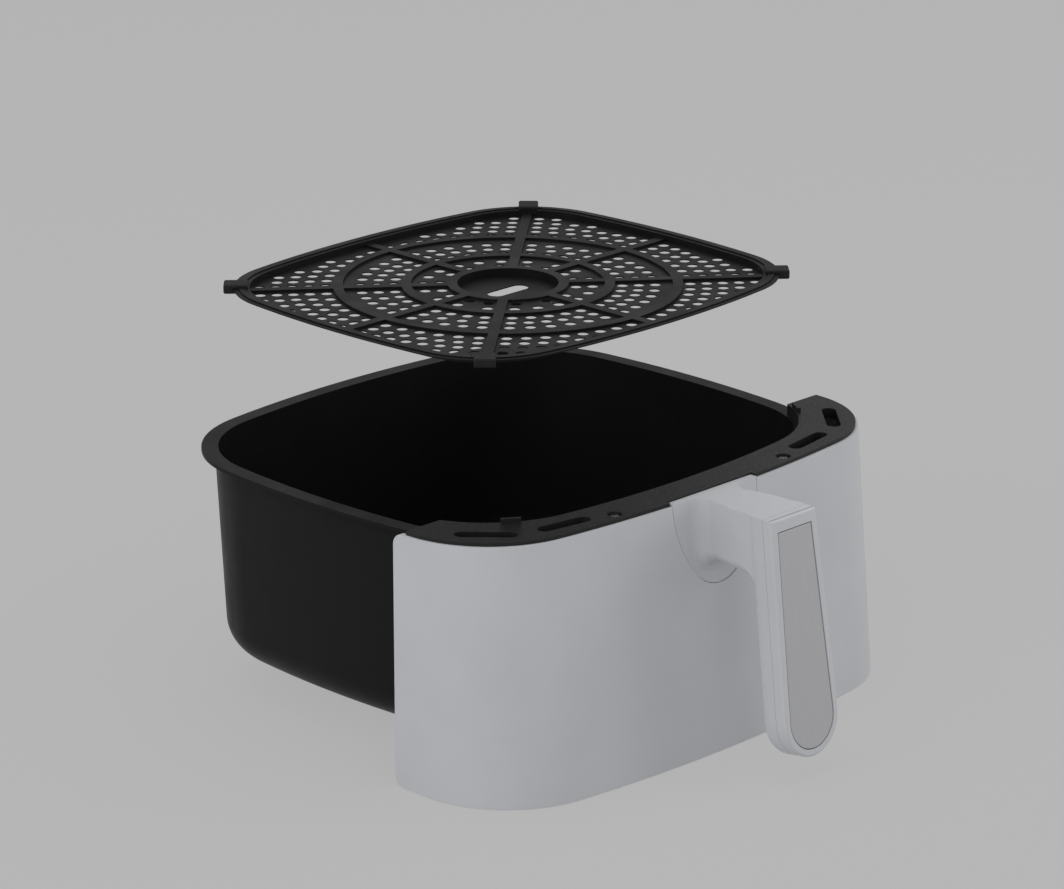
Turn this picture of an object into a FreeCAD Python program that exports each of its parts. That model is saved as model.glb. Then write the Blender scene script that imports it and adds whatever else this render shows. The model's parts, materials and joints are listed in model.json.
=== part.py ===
"""Air-fryer drawer: coated pan, white front with a fixed handle, and a crisper plate lifted above it.

Frame: origin at the middle of the pan's base, +Z up, the front and its handle towards -Y. Millimetres.
"""
import FreeCAD, Part
import math
import os

V = FreeCAD.Vector

# Driving dimensions: alias, value in mm (degrees for draft and lean), what it measures
SIZES = (
    ("pan_width", 230.0, "pan rim, outside width"),
    ("pan_length", 208.0, "pan rim, outside length front to back"),
    ("pan_height", 90.0, "pan base to rim"),
    ("pan_corner", 56.0, "corner radius of the rim"),
    ("pan_bow", 450.0, "radius of the rim's bowed sides"),
    ("pan_sheet", 1.5, "pan sheet thickness"),
    ("pan_draft", 2.6, "wall draft in degrees"),
    ("rim_width", 5.5, "turned-out rim beyond the wall"),
    ("floor_round", 16.0, "outside radius between wall and base"),
    ("panel_side", 7.5, "front panel's sides beyond the rim"),
    ("panel_ahead", 12.5, "panel front beyond the rim at the top"),
    ("panel_lean", 10.0, "how much further out the panel's bottom stands"),
    ("panel_bow", 620.0, "radius of the bowed front"),
    ("panel_corner", 46.0, "radius of the panel's two upright corners"),
    ("panel_wall", 2.5, "panel wall thickness"),
    ("panel_back", 58.0, "pan centre to the panel's rear ends"),
    ("panel_rise", 3.0, "panel top above the rim"),
    ("panel_drop", 13.4, "panel bottom below the pan base"),
    ("panel_end_round", 5.0, "radius on the panel's end corners"),
    ("liner_gap", 1.0, "liner to pan wall at the rim"),
    ("liner_wall", 2.0, "liner and bottom cover thickness"),
    ("trim_rise", 4.5, "trim top above the rim"),
    ("trim_back", 64.0, "pan centre to the trim's rear ends"),
    ("trim_reveal", 1.2, "panel edge left showing round the trim"),
    ("trim_setback", 1.4, "trim edge behind the pan's mouth"),
    ("tab_length", 8.0, "upright tabs on the trim's inner corners, length"),
    ("tab_rise", 2.0, "upright tabs above the trim"),
    ("tab_thick", 1.6, "upright tabs, thickness"),
    ("slot_width", 6.0, "vent slots in the trim, width"),
    ("slot_length", 25.0, "vent slots in the trim, length"),
    ("slot_side", 50.2, "front vent slots in from the panel's sides"),
    ("slot_turn", 9.0, "turn of the front vent slots in degrees"),
    ("corner_turn", 47.0, "turn of the corner vent slots in degrees"),
    ("fit_gap", 0.2, "clearance between moulded pieces"),
    ("foot_width", 50.0, "handle foot, width at the panel's top"),
    ("foot_depth", 37.0, "handle foot, depth below the panel's top"),
    ("handle_rise", 3.8, "handle top above the rim"),
    ("foot_sink", 0.6, "handle foot behind the panel's face"),
    ("arm_root", 19.0, "arm width at the foot"),
    ("arm_height", 26.0, "arm height"),
    ("arm_inset", 0.8, "arm's sides inside the grip's at the top"),
    ("grip_reach", 41.0, "panel front to grip front at the top"),
    ("grip_lean", 8.2, "grip lean in degrees"),
    ("grip_length", 99.0, "grip length along its slope"),
    ("grip_top_width", 26.0, "grip width at the top"),
    ("grip_end_width", 32.0, "grip width at the round end"),
    ("grip_shell", 7.5, "rear shell thickness of the grip"),
    ("cover_thick", 5.0, "front cover thickness of the grip"),
    ("inlay_margin", 3.0, "cover left showing beside the inlay"),
    ("inlay_head", 5.0, "cover left showing above the inlay"),
    ("inlay_thick", 1.4, "inlay thickness"),
    ("inlay_gap", 0.35, "dark line round the inlay"),
    ("screw_d", 4.0, "pan screw diameter"),
    ("washer_thick", 1.0, "sealing washer under a pan screw's head"),
    ("small_screw_d", 2.9, "tapping screw diameter"),
    ("plate_gap", 7.75, "plate edge to the pan's inner wall at the rim"),
    ("plate_sheet", 0.5, "crisper plate sheet thickness"),
    ("plate_band", 6.5, "flat band round the plate"),
    ("bead_width", 2.4, "bead along the middle of the band"),
    ("bead_height", 0.5, "bead above the band"),
    ("plate_step", 2.5, "perforated floor below the band"),
    ("plate_hover", 68.0, "plate top above the pan rim as shown"),
    ("rib_width", 4.2, "ring ribs and spokes"),
    ("rib_height", 1.0, "ribs above the perforated floor"),
    ("dish_ring", 23.0, "radius of the inner ring rib"),
    ("middle_ring", 42.0, "radius of the middle ring rib"),
    ("outer_ring", 70.0, "radius of the outer ring rib"),
    ("hole_d", 4.7, "hole diameter"),
    ("hole_pitch", 7.1, "hole spacing"),
    ("hole_margin", 0.7, "least sheet left between a hole and a rib or the band"),
    ("grip_slot_length", 21.0, "lifting slot in the dish, length"),
    ("grip_slot_width", 7.5, "lifting slot in the dish, width"),
    ("bumper_width", 8.5, "corner bumper width"),
    ("bumper_wall", 4.0, "bumper beyond the plate edge"),
    ("bumper_leaf", 1.6, "bumper leaf on the plate"),
    ("bumper_reach", 6.0, "bumper leaf length over the band"),
    ("bumper_lip", 3.5, "bumper leaf length under the band"),
    ("slit_width", 1.2, "slits under the bumpers' inner ends"),
    ("slit_show", 1.2, "slit ends showing beside a bumper"),
)

doc = FreeCAD.newDocument("fryer_drawer")
sheet = doc.addObject("Spreadsheet::Sheet", "Sizes")
for row, (alias, value, note) in enumerate(SIZES, start=1):
    sheet.set(f"A{row}", note)
    sheet.set(f"B{row}", str(value))
    sheet.setAlias(f"B{row}", alias)
doc.recompute()


def size(alias):
    """A driving dimension, read from the sheet."""
    return float(getattr(sheet, alias))


def sizes(*aliases):
    return [size(alias) for alias in aliases]


# Levels and places that several pieces share
RIM = size("pan_height")
PANEL_TOP = RIM + size("panel_rise")
PANEL_BOTTOM = -size("panel_drop")
TRIM_TOP = RIM + size("trim_rise")
HANDLE_TOP = RIM + size("handle_rise")
FRONT = size("pan_length") / 2 + size("panel_ahead")
FRONT_CELLS = "(Sizes.pan_length / 2 + Sizes.panel_ahead)"
FRONT_HALF = size("pan_width") / 2 + size("panel_side")
LEAN_SLOPE = size("panel_lean") / (PANEL_TOP - PANEL_BOTTOM)
DRAFT_SLOPE = math.tan(math.radians(size("pan_draft")))
PLATE_TOP = RIM + size("plate_hover")
PLATE_BASE = PLATE_TOP - size("plate_sheet")
PAST = 1.0


# Outlines

def arc(start, middle, end):
    return Part.Arc(V(*start, 0), V(*middle, 0), V(*end, 0))


def line(start, end):
    return Part.LineSegment(V(*start, 0), V(*end, 0))


def chain(points):
    """Closed run of straight lines."""
    return [line(a, b) for a, b in zip(points, points[1:] + points[:1])]


def rectangle(x0, y0, x1, y1):
    return chain([(x0, y0), (x1, y0), (x1, y1), (x0, y1)])


def circle(x, y, radius):
    return Part.Circle(V(x, y, 0), V(0, 0, 1), radius)


def pillow(half_x, half_y, bow, corner):
    """Rounded rectangle with four bowed sides: eight tangent arcs, anticlockwise from the right side."""
    side_x, side_y = half_x - bow, half_y - bow
    # Corner centre: as far from each side's centre as the two radii differ
    cx, cy = half_x - corner, half_y - corner
    for _ in range(30):
        f = (cx - side_x) ** 2 + cy ** 2 - (bow - corner) ** 2
        g = cx ** 2 + (cy - side_y) ** 2 - (bow - corner) ** 2
        a, b, c, d = 2 * (cx - side_x), 2 * cy, 2 * cx, 2 * (cy - side_y)
        det = a * d - b * c
        cx, cy = cx - (f * d - b * g) / det, cy - (a * g - c * f) / det
    reach = bow - corner
    on_side = (side_x + bow * (cx - side_x) / reach, bow * cy / reach)
    on_end = (bow * cx / reach, side_y + bow * (cy - side_y) / reach)
    turn = math.hypot(on_side[0] + on_end[0] - 2 * cx, on_side[1] + on_end[1] - 2 * cy)
    tip = (cx + corner * (on_side[0] + on_end[0] - 2 * cx) / turn,
           cy + corner * (on_side[1] + on_end[1] - 2 * cy) / turn)

    def at(point, sx, sy):
        return (point[0] * sx, point[1] * sy)
    curves = []
    for sx, sy in ((1, 1), (-1, 1), (-1, -1), (1, -1)):
        curves.append(arc(at(on_side, sx, sy), at(tip, sx, sy), at(on_end, sx, sy)))
    curves.append(arc(at(on_side, 1, -1), (half_x, 0), at(on_side, 1, 1)))
    curves.append(arc(at(on_end, 1, 1), (0, half_y), at(on_end, -1, 1)))
    curves.append(arc(at(on_side, -1, 1), (-half_x, 0), at(on_side, -1, -1)))
    curves.append(arc(at(on_end, -1, -1), (0, -half_y), at(on_end, 1, -1)))
    return curves


def pan_outline(inset):
    """The pan's plan outline, inset from the rim's outer edge."""
    width, length, bow, corner = sizes("pan_width", "pan_length", "pan_bow", "pan_corner")
    return pillow(width / 2 - inset, length / 2 - inset, bow - inset, corner - inset)


def plate_outline(inset):
    """The crisper plate's plan outline, inset from its edge: the pan's mouth less a gap."""
    return pan_outline(size("rim_width") + size("pan_sheet") + size("plate_gap") + inset)


def front_outline(inset, front, back):
    """Plan of the front: bowed face, two round corners and sides, closed by a straight line at the back."""
    half = FRONT_HALF - inset
    corner = size("panel_corner") - inset
    bow = size("panel_bow") - inset
    face = front - inset
    centre = bow - face
    cx = half - corner
    cy = centre - math.sqrt((bow - corner) ** 2 - cx ** 2)
    scale = bow / (bow - corner)
    tangent = (cx * scale, centre + (cy - centre) * scale)
    middle = math.radians(315) + math.atan2(-(centre - cy), cx) / 2 + math.radians(45)
    mid = (cx + corner * math.cos(middle), cy + corner * math.sin(middle))

    def left(point):
        return (-point[0], point[1])
    return [
        line((-half, -back), (-half, cy)),
        arc((-half, cy), left(mid), left(tangent)),
        arc(left(tangent), (0, -face), tangent),
        arc(tangent, mid, (half, cy)),
        line((half, cy), (half, -back)),
        line((half, -back), (-half, -back)),
    ]


def panel_face(x, z):
    """How far in front of the pan's centre the panel's outside stands at a place."""
    bow = size("panel_bow")
    return FRONT + (PANEL_TOP - z) * LEAN_SLOPE - (bow - math.sqrt(bow ** 2 - x ** 2))


def oblong(cx, cy, length, width, angle):
    """Slot with round ends, turned by an angle in degrees."""
    run, radius = (length - width) / 2, width / 2
    turn = math.radians(angle)

    def at(x, y):
        return (cx + x * math.cos(turn) - y * math.sin(turn), cy + x * math.sin(turn) + y * math.cos(turn))
    return [
        line(at(-run, -radius), at(run, -radius)),
        arc(at(run, -radius), at(run + radius, 0), at(run, radius)),
        line(at(run, radius), at(-run, radius)),
        arc(at(-run, radius), at(-run - radius, 0), at(-run, -radius)),
    ]


# Features

def make_body(label):
    body = doc.addObject("PartDesign::Body", label)
    body.Label = label
    return body


def sketch(body, plane, name, curves, level="0", turn=None, shift=(0, 0)):
    """Sketch on one of the body's origin planes, lifted to a level along the plane's normal."""
    found = [f for f in body.Origin.OriginFeatures if f.Role == plane][0]
    made = body.newObject("Sketcher::SketchObject", name)
    made.AttachmentSupport = (found, [""])
    made.MapMode = "FlatFace"
    if turn is not None:
        made.AttachmentOffset = FreeCAD.Placement(V(shift[0], shift[1], 0), turn)
    made.setExpression("AttachmentOffset.Base.z", level)
    made.addGeometry(curves, False)
    return made


def feature(body, kind, profile, sections=None, **settings):
    """Adds a feature that must change the body's volume; text settings are expressions."""
    doc.recompute()
    before = body.Shape.Volume if body.Tip else 0.0
    made = body.newObject("PartDesign::" + kind, kind)
    if profile is not None:
        made.Profile = profile
    if sections is not None:
        made.Sections = sections
    for key, value in settings.items():
        if isinstance(value, str):
            made.setExpression(key, value)
        else:
            setattr(made, key, value)
    doc.recompute()
    if abs(body.Shape.Volume - before) < 1e-3:
        raise ValueError(f"{body.Label}: {made.Name} changes nothing")
    return made


def pad(body, profile, length, **settings):
    return feature(body, "Pad", profile, Length=length, **settings)


def pocket(body, profile, length, **settings):
    return feature(body, "Pocket", profile, Length=length, **settings)


def loft(body, kind, low, high):
    return feature(body, kind, low, [high], Ruled=True)


def round_edges(body, radius, chosen):
    """Fillets the edges of the body's last feature that a test picks."""
    tip = body.Tip
    names = [f"Edge{i}" for i, edge in enumerate(tip.Shape.Edges, start=1) if chosen(edge)]
    if not names:
        raise ValueError(f"{body.Label}: no edge to round")
    return feature(body, "Fillet", None, Base=(tip, names), Radius=radius)


def centre(edge):
    return edge.BoundBox.Center


def flat_at(edge, z):
    return all(abs(vertex.Z - z) < 1e-3 for vertex in edge.Vertexes)


def repeat(label, solid, placements):
    """One node that holds the same solid at several places."""
    copies = []
    for placement in placements:
        copy = solid.copy()
        copy.Placement = placement
        copies.append(copy)
    node = doc.addObject("Part::Feature", label)
    node.Label = label
    node.Shape = Part.Compound(copies)
    return node


# Pan

def make_pan():
    body = make_body("pan")
    rim_width, wall = sizes("rim_width", "pan_sheet")
    top = pan_outline(rim_width)
    low = pan_outline(rim_width + RIM * DRAFT_SLOPE)
    loft(body, "AdditiveLoft",
         sketch(body, "XY_Plane", "pan_base", low),
         sketch(body, "XY_Plane", "pan_mouth", top, "Sizes.pan_height"))
    inner_low = pan_outline(rim_width + wall + (RIM - wall) * DRAFT_SLOPE)
    inner_top = pan_outline(rim_width + wall)
    loft(body, "SubtractiveLoft",
         sketch(body, "XY_Plane", "hollow_floor", inner_low, "Sizes.pan_sheet"),
         sketch(body, "XY_Plane", "hollow_mouth", inner_top, "Sizes.pan_height"))
    round_edges(body, "Sizes.floor_round - Sizes.pan_sheet", lambda e: flat_at(e, wall))
    round_edges(body, "Sizes.floor_round", lambda e: flat_at(e, 0))
    turned_out = pan_outline(0) + pan_outline(rim_width + wall / 2)
    rim = sketch(body, "XY_Plane", "rim", turned_out, "Sizes.pan_height")
    pad(body, rim, "Sizes.pan_sheet", Reversed=True)
    holes = [circle(x, pan_screw_height(), size("screw_d") / 2 + size("fit_gap")) for x in pan_screw_places()]
    pocket(body, sketch(body, "XZ_Plane", "screw_holes", holes, "Sizes.pan_length / 2"),
           "Sizes.pan_length / 4")
    return body


def pan_screw_places():
    spread = size("foot_width") * 0.22
    return (-spread, spread)


def pan_screw_height():
    return PANEL_TOP - size("foot_depth") * 0.6


def pan_wall_face(x, z, depth):
    """Distance from the pan's centre to its bowed front wall at a place, a depth in from the outer face."""
    inset = size("rim_width") + depth + (RIM - z) * DRAFT_SLOPE
    bow = size("pan_bow") - inset
    return size("pan_length") / 2 - inset - (bow - math.sqrt(bow ** 2 - x ** 2))


# White front

def make_front_panel():
    body = make_body("front_panel")
    wall, back, lean = sizes("panel_wall", "panel_back", "panel_lean")
    for kind, inset, end in (("AdditiveLoft", 0, back), ("SubtractiveLoft", wall, back - PAST)):
        past = PAST if inset else 0
        low = front_outline(inset, FRONT + lean + past * LEAN_SLOPE, end)
        high = front_outline(inset, FRONT - past * LEAN_SLOPE, end)
        loft(body, kind,
             sketch(body, "XY_Plane", f"bottom_{kind}", low, f"-Sizes.panel_drop - {past}"),
             sketch(body, "XY_Plane", f"top_{kind}", high, f"Sizes.pan_height + Sizes.panel_rise + {past}"))
    round_edges(body, "Sizes.panel_end_round",
                lambda e: abs(centre(e).y + back) < 1e-4
                and (flat_at(e, PANEL_TOP) or flat_at(e, PANEL_BOTTOM)))
    notch = foot_outline(0, TRIM_TOP + PAST)
    pocket(body, sketch(body, "XZ_Plane", "foot_notch", notch, f"{FRONT_CELLS} * 1.5"),
           f"{FRONT_CELLS} * 0.6")
    make_panel_bosses(body)
    return body


def make_panel_bosses(body):
    """Bosses behind the panel that take the trim's and the liner's screws."""
    small = size("small_screw_d")
    blocks, pilots = [], []
    for x, y in trim_screw_places():
        start = -panel_face(x, RIM) + size("panel_wall") * 0.4
        blocks += rectangle(x - small * 1.3, start, x + small * 1.3, y + small * 1.4)
        pilots.append(circle(x, y, small / 2 + size("fit_gap") / 2))
    pad(body, sketch(body, "XY_Plane", "trim_bosses", blocks, "Sizes.pan_height"), "6 * Sizes.small_screw_d",
        Reversed=True)
    pocket(body, sketch(body, "XY_Plane", "trim_pilots", pilots, "Sizes.pan_height"),
           "5 * Sizes.small_screw_d")
    blocks, pilots = [], []
    inside = FRONT_HALF - size("panel_wall") / 2
    for x, z in liner_screw_places():
        reach = math.copysign(inside, x)
        inner = x - math.copysign(small * 1.2, x)
        blocks += rectangle(min(reach, inner), z - small * 1.5, max(reach, inner), z + small * 1.5)
        pilots.append(circle(x, z, small / 2 + size("fit_gap") / 2))
    level = "Sizes.panel_back + Sizes.liner_wall"
    pad(body, sketch(body, "XZ_Plane", "liner_bosses", blocks, level), "4 * Sizes.small_screw_d")
    pocket(body, sketch(body, "XZ_Plane", "liner_pilots", pilots, level),
           "3.5 * Sizes.small_screw_d", Reversed=True)


def trim_screw_places():
    """Middles of the trim's screws, between the panel's inside and the rim's edge."""
    x = size("foot_width")
    y = -(panel_face(x, RIM) - size("panel_wall") + size("pan_length") / 2) / 2
    return [(-x, y), (x, y)]


def liner_screw_places():
    """Middles of the liner's screws in its two end walls."""
    x = FRONT_HALF - size("panel_wall") - 1.4 * size("small_screw_d")
    span = PANEL_TOP - PANEL_BOTTOM
    return [(side * x, PANEL_BOTTOM + span * share) for side in (-1, 1) for share in (0.25, 0.75)]


def make_liner():
    """Black wall behind the panel that follows the pan, with an end wall at each side."""
    body = make_body("panel_liner")
    gap, wall, back = sizes("liner_gap", "liner_wall", "panel_back")
    inner = size("rim_width") - gap
    height = "Sizes.pan_height - Sizes.pan_sheet + Sizes.panel_drop - 2 * Sizes.liner_wall"
    level = "2 * Sizes.liner_wall - Sizes.panel_drop"
    pad(body, sketch(body, "XY_Plane", "wall", pan_outline(inner - wall) + pan_outline(inner), level), height)
    wide, long = sizes("pan_width", "pan_length")
    behind = sketch(body, "XY_Plane", "behind", rectangle(-wide, -back, wide, long), level)
    pocket(body, behind, height, Reversed=True)
    ends = []
    side = FRONT_HALF - size("panel_wall") - size("fit_gap")
    root = ring_side(inner - wall / 2, back + wall)
    for sign in (-1, 1):
        ends += rectangle(min(sign * root, sign * side), -back - wall, max(sign * root, sign * side), -back)
    pad(body, sketch(body, "XY_Plane", "end_walls", ends, level), height)
    small = size("small_screw_d") / 2 + size("fit_gap")
    holes = [circle(x, z, small) for x, z in liner_screw_places()]
    pocket(body, sketch(body, "XZ_Plane", "end_holes", holes, "Sizes.panel_back - 1"), "Sizes.liner_wall + 2",
           Reversed=True)
    bolt = size("screw_d") / 2 + 3 * size("fit_gap")
    holes = [circle(x, pan_screw_height(), bolt) for x in pan_screw_places()]
    pocket(body, sketch(body, "XZ_Plane", "bolt_holes", holes, FRONT_CELLS), f"{FRONT_CELLS} / 2")
    return body


def ring_side(inset, y):
    """Where the pan's outline, inset from the rim, stands sideways at a distance in front of the centre."""
    edges = [curve.toShape() for curve in pan_outline(inset)]
    probe = Part.makeLine(V(0, -y, 0), V(size("pan_width"), -y, 0))
    hits = [probe.distToShape(edge) for edge in edges]
    return max(hit[1][0][0].x for hit in hits if hit[0] < 1e-6)


def make_bottom_cover():
    """Black cover that closes the front's underside between the panel and the liner."""
    body = make_body("bottom_cover")
    gap, back = sizes("fit_gap", "panel_back")
    outline = front_outline(size("panel_wall") + 3 * gap, FRONT + size("panel_lean"), back)
    base = "Sizes.liner_wall - Sizes.panel_drop"
    pad(body, sketch(body, "XY_Plane", "cover", outline, base), "Sizes.liner_wall")
    mouth = pan_outline(size("rim_width") - size("liner_gap"))
    pocket(body, sketch(body, "XY_Plane", "pan_bay", mouth, base), "2 * Sizes.liner_wall", Reversed=True)
    return body


def make_top_trim():
    """Black bezel between the pan's mouth and the panel's top edge, with vent slots."""
    body = make_body("top_trim")
    wall, gap, back = sizes("panel_wall", "fit_gap", "trim_back")
    lower = front_outline(wall + gap, FRONT, back)
    upper = front_outline(size("trim_reveal"), FRONT, back)
    pad(body, sketch(body, "XY_Plane", "seat", lower, "Sizes.pan_height"), "Sizes.panel_rise")
    pad(body, sketch(body, "XY_Plane", "cap", upper, "Sizes.pan_height + Sizes.panel_rise"),
        "Sizes.trim_rise - Sizes.panel_rise")
    mouth = pan_outline(size("rim_width") + size("pan_sheet") - size("trim_setback"))
    top = "Sizes.pan_height + Sizes.trim_rise"
    pocket(body, sketch(body, "XY_Plane", "mouth", mouth, top), "2 * Sizes.trim_rise")
    half = size("foot_width") / 2 + gap
    notch = rectangle(-half, -FRONT - PAST, half, -foot_rear() + gap)
    pocket(body, sketch(body, "XY_Plane", "foot_notch", notch, top), "2 * Sizes.trim_rise")
    slots = []
    for x, y, length, angle in vent_slots():
        slots += oblong(x, y, length, size("slot_width"), angle)
    pocket(body, sketch(body, "XY_Plane", "slots", slots, top), "2 * Sizes.trim_rise")
    small = size("small_screw_d")
    heads = [circle(x, y, small + gap) for x, y in trim_screw_places()]
    pocket(body, sketch(body, "XY_Plane", "head_wells", heads, top), "Sizes.trim_rise / 2")
    shanks = [circle(x, y, small / 2 + gap) for x, y in trim_screw_places()]
    pocket(body, sketch(body, "XY_Plane", "shank_holes", shanks, top), "2 * Sizes.trim_rise")
    tabs = []
    for corner, share in zip(mouth[2:4], (0.65, 0.35)):
        tabs += tab_outline(corner, share)
    pad(body, sketch(body, "XY_Plane", "tabs", tabs, f"{top} - Sizes.trim_rise / 2"),
        "Sizes.tab_rise + Sizes.trim_rise / 2")
    return body


def tab_outline(corner, share):
    """Small block along the outside of a corner arc, a share of the way round it."""
    edge = corner.toShape()
    at = edge.FirstParameter + share * (edge.LastParameter - edge.FirstParameter)
    spot, along = edge.valueAt(at), edge.tangentAt(at)
    out = spot - edge.Curve.Center
    out.normalize()
    near, far = size("fit_gap"), size("fit_gap") + size("tab_thick")
    half = size("tab_length") / 2
    points = [spot + along * reach + out * depth
              for reach, depth in ((-half, near), (half, near), (half, far), (-half, far))]
    return chain([(point.x, point.y) for point in points])


def foot_rear():
    """Distance from the pan's centre to the rear of the handle foot's top edge."""
    return FRONT - size("panel_wall") - size("trim_reveal")


def vent_slots():
    """Two slots on each side: one along the front, one round the corner. Gives x, y, length, angle."""
    half_gap = (FRONT - size("panel_wall") + size("pan_length") / 2 - size("rim_width")) / 2
    front_x = FRONT_HALF - size("slot_side")
    front_y = -half_gap + 0.7 * size("slot_width")
    corner_x = FRONT_HALF - size("panel_corner") * 0.44
    corner_y = -FRONT + size("panel_corner") * 0.6
    length, front_turn, corner_turn = sizes("slot_length", "slot_turn", "corner_turn")
    slots = []
    for side in (-1, 1):
        slots.append((side * front_x, front_y, length, side * front_turn))
        slots.append((side * corner_x, corner_y, length, side * corner_turn))
    return slots


# Handle

def foot_outline(inset, top):
    """Deep U of the handle's foot in the panel: two side arcs and a round bottom, run up to a top level."""
    wide, deep = size("foot_width") / 2 - inset, size("foot_depth") - inset
    bottom = 0.68 * wide
    side = (wide ** 2 + (deep - bottom) ** 2 - bottom ** 2) / (2 * (wide - bottom))
    centre_x = wide - side
    share = side / (side - bottom)
    touch = (centre_x - centre_x * share, PANEL_TOP - (deep - bottom) * share)
    half = math.atan2(PANEL_TOP - touch[1], touch[0] - centre_x) / 2
    bulge = (centre_x + side * math.cos(half), PANEL_TOP - side * math.sin(half))

    def left(point):
        return (-point[0], point[1])
    return [arc((wide, PANEL_TOP), bulge, touch),
            arc(touch, (0, PANEL_TOP - deep), left(touch)),
            arc(left(touch), left(bulge), (-wide, PANEL_TOP)),
            line((-wide, PANEL_TOP), (-wide, top)),
            line((-wide, top), (wide, top)),
            line((wide, top), (wide, PANEL_TOP))]


def foot_back():
    """Distance from the pan's centre to the handle foot's rear, against the liner."""
    length, rim_width, gap, wall = sizes("pan_length", "rim_width", "liner_gap", "liner_wall")
    return length / 2 - rim_width + gap + wall + size("fit_gap") / 2


def grip_outline(inset, head):
    """Front outline of the grip, seen square to its slope: top edge at zero, a full round end below."""
    top = size("grip_top_width") / 2 - inset
    radius = size("grip_end_width") / 2 - inset
    drop = size("grip_length") - size("grip_end_width") / 2
    run = drop + head
    # Tangent from the top corner to the round end
    reach = math.hypot(top, run)
    turn = math.atan2(run, top) - math.acos(radius / reach)
    touch = (radius * math.cos(turn), -drop + radius * math.sin(turn))
    return [line((-top, head), (top, head)),
            line((top, head), touch),
            arc(touch, (0, -drop - radius), (-touch[0], touch[1])),
            line((-touch[0], touch[1]), (-top, head))]


def grip_sketch(body, name, curves, depth):
    """Sketch on the grip's sloping face, a depth in from its front."""
    lean = math.radians(size("grip_lean"))
    level = f"{FRONT_CELLS} + Sizes.grip_reach - {depth} * cos(Sizes.grip_lean * 1deg)"
    return sketch(body, "XZ_Plane", name, curves, level,
                  FreeCAD.Rotation(V(1, 0, 0), -size("grip_lean")),
                  (0, HANDLE_TOP - depth * math.sin(lean)))


def grip_point(along, depth):
    """Place on the grip: a distance down its slope, a depth in from its front."""
    lean = math.radians(size("grip_lean"))
    return V(0, -FRONT - size("grip_reach") - along * math.sin(lean) + depth * math.cos(lean),
             HANDLE_TOP - along * math.cos(lean) - depth * math.sin(lean))


def grip_screw_places():
    """Distances of the grip's screws down its slope."""
    return [size("grip_length") * share for share in (0.5, 0.8)]


def cut_top(body):
    """Levels a piece off at the handle's top."""
    over = rectangle(-2 * FRONT, HANDLE_TOP, 0, HANDLE_TOP + size("arm_height"))
    pocket(body, sketch(body, "YZ_Plane", "level_top", over, "-Sizes.foot_width"), "2 * Sizes.foot_width",
           Reversed=True)


def arm_outline(half, drop, corner):
    """Section of the arm, seen square to a slope: top edge past zero, round lower corners."""
    over, bend = size("arm_height") / 4, corner * math.sqrt(0.5)
    return [line((-half, over), (half, over)),
            line((half, over), (half, corner - drop)),
            arc((half, corner - drop), (half - corner + bend, corner - drop - bend), (half - corner, -drop)),
            line((half - corner, -drop), (corner - half, -drop)),
            arc((corner - half, -drop), (corner - half - bend, corner - drop - bend), (-half, corner - drop)),
            line((-half, corner - drop), (-half, over))]


def arm_sections(body):
    """The arm's sections from the foot to the grip, flared by a quarter round at both ends."""
    root, high = size("arm_root") / 2, size("arm_height")
    end = size("grip_top_width") / 2 - size("arm_inset")
    corner = high * 0.17
    quarter = [(0.0, 1.0), (0.134, 0.5), (0.5, 0.134), (1.0, 0.0)]
    lean = math.degrees(math.atan(LEAN_SLOPE))
    face = panel_face(0, HANDLE_TOP) - size("foot_sink")
    flare = high * 0.25
    places = [(face - PAST, lean, root + flare, high + flare, corner + flare)]
    for out, grow in quarter:
        wide = flare * grow
        places.append((face + flare * out, lean, root + wide, high + wide, corner + wide))
    flare = high * 0.33
    back = FRONT + size("grip_reach") - size("cover_thick") - size("grip_shell")
    slope = size("grip_lean")
    for out, grow in reversed(quarter):
        places.append((back - flare * out, slope, end, high + flare * grow, corner))
    places.append((back + size("grip_shell") / 2, slope, end, high + flare, corner))
    drawn = [sketch(body, "XZ_Plane", "arm_section", arm_outline(half, drop, round_off), f"{at}",
                    FreeCAD.Rotation(V(1, 0, 0), -angle), (0, HANDLE_TOP))
             for at, angle, half, drop, round_off in places]
    return drawn[0], drawn[1:]


def shell_sections(body):
    """The grip's rear shell from its rounded back to the cover's seat."""
    thick, over = size("grip_shell"), size("arm_height") / 4
    bend = thick * 0.35
    drawn = []
    for share, inset in ((0.0, 1.0), (0.29, 0.29), (1.0, 0.0), (thick / bend, 0.0)):
        drawn.append(grip_sketch(body, "shell_section", grip_outline(bend * inset, over),
                                 size("cover_thick") + thick - bend * share))
    return drawn[0], drawn[1:]


def make_handle():
    """White foot, arm and rear shell of the grip in one moulding."""
    body = make_body("handle")
    gap, sink = sizes("fit_gap", "foot_sink")
    out = f"{FRONT_CELLS} + Sizes.panel_lean"
    foot = sketch(body, "XZ_Plane", "foot", foot_outline(gap, HANDLE_TOP), out)
    pad(body, foot, f"{out} - {foot_back()}", Reversed=True)
    low = PANEL_TOP - size("foot_depth") - PAST
    face = [(-(panel_face(0, z) - sink), z) for z in (low, HANDLE_TOP + PAST)]
    ahead = -2 * FRONT
    front = chain([face[0], face[1], (ahead, HANDLE_TOP + PAST), (ahead, low)])
    pocket(body, sketch(body, "YZ_Plane", "foot_face", front, "-Sizes.foot_width"), "2 * Sizes.foot_width",
           Reversed=True)
    step = rectangle(-foot_rear(), RIM - size("pan_sheet") - gap, 0, HANDLE_TOP + PAST)
    pocket(body, sketch(body, "YZ_Plane", "trim_step", step, "-Sizes.foot_width"), "2 * Sizes.foot_width",
           Reversed=True)
    feature(body, "AdditiveLoft", *arm_sections(body), Ruled=True)
    feature(body, "AdditiveLoft", *shell_sections(body), Ruled=True)
    cut_top(body)
    drill_handle(body)
    return body


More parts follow.
